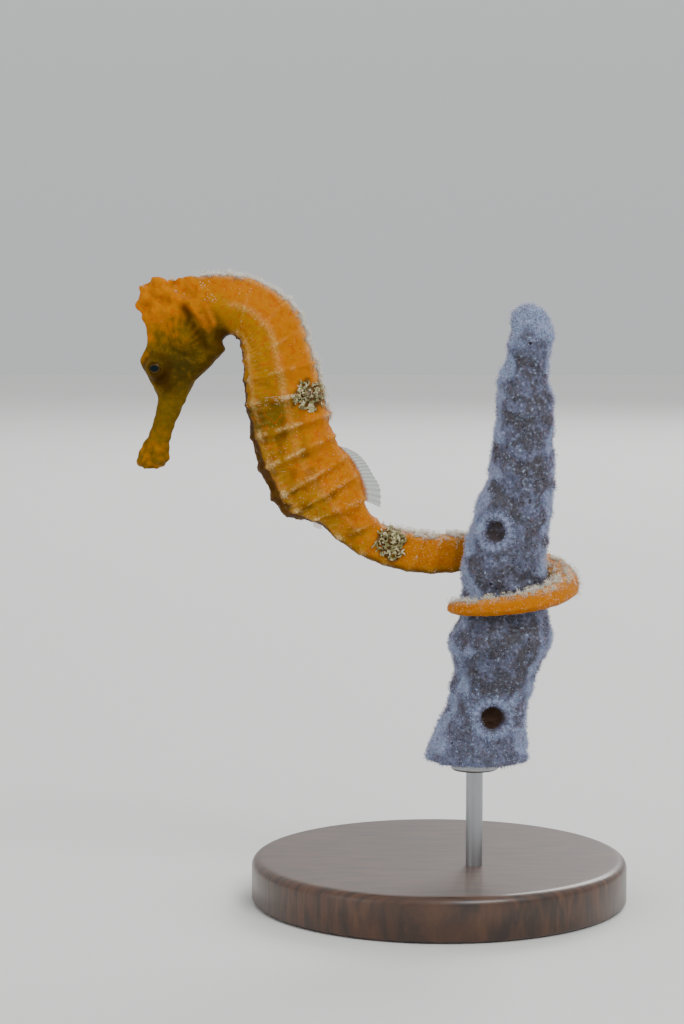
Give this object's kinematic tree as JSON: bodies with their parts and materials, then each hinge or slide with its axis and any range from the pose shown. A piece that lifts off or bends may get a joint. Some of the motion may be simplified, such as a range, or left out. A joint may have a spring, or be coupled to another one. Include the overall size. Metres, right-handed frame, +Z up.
{
  "type": "longsnout seahorse gripping a sponge perch on a display stand",
  "caption": "Life-size still model of an orange longsnout seahorse, tail coiled round a cut length of sponge finger held by a rod on a round wooden base.",
  "frame": {"origin": "centre of the stand base's underside", "axes": "+Z up, the seahorse faces -X, and its left side, the one first seen, faces -Y"},
  "size_m": [0.0889, 0.068, 0.1139],
  "materials": {
    "skin": "satin, orange, over bony plates, with pale algae fuzz on what faces up",
    "snout_skin": "satin, olive ochre",
    "fin": "thin clear membrane on fine rays",
    "eye": "glossy, wet",
    "sponge": "rough and fibrous, lavender with grey-brown mottling",
    "stand_steel": "drawn stainless rod",
    "stand_wood": "dark stained, satin lacquer"
  },
  "bodies": {
    "root": {"snout": "snout_skin", "head": "skin", "coronet": "skin", "gill_cover_left": "skin", "gill_cover_right": "skin", "eye_left": "eye", "eye_right": "eye", "neck": "skin", "trunk_upper": "skin", "trunk_lower": "skin", "tail_base": "skin", "tail_middle": "skin", "tail_behind_perch": "skin", "tail_right_turn": "skin", "tail_front": "skin", "tail_tip": "skin", "dorsal_fin": "fin", "pectoral_fin_left": "fin", "pectoral_fin_right": "fin", "anal_fin": "fin", "perch_sponge": "sponge", "stand_rod": "stand_steel", "stand_base": "stand_wood"}
  },
  "joints": []
}
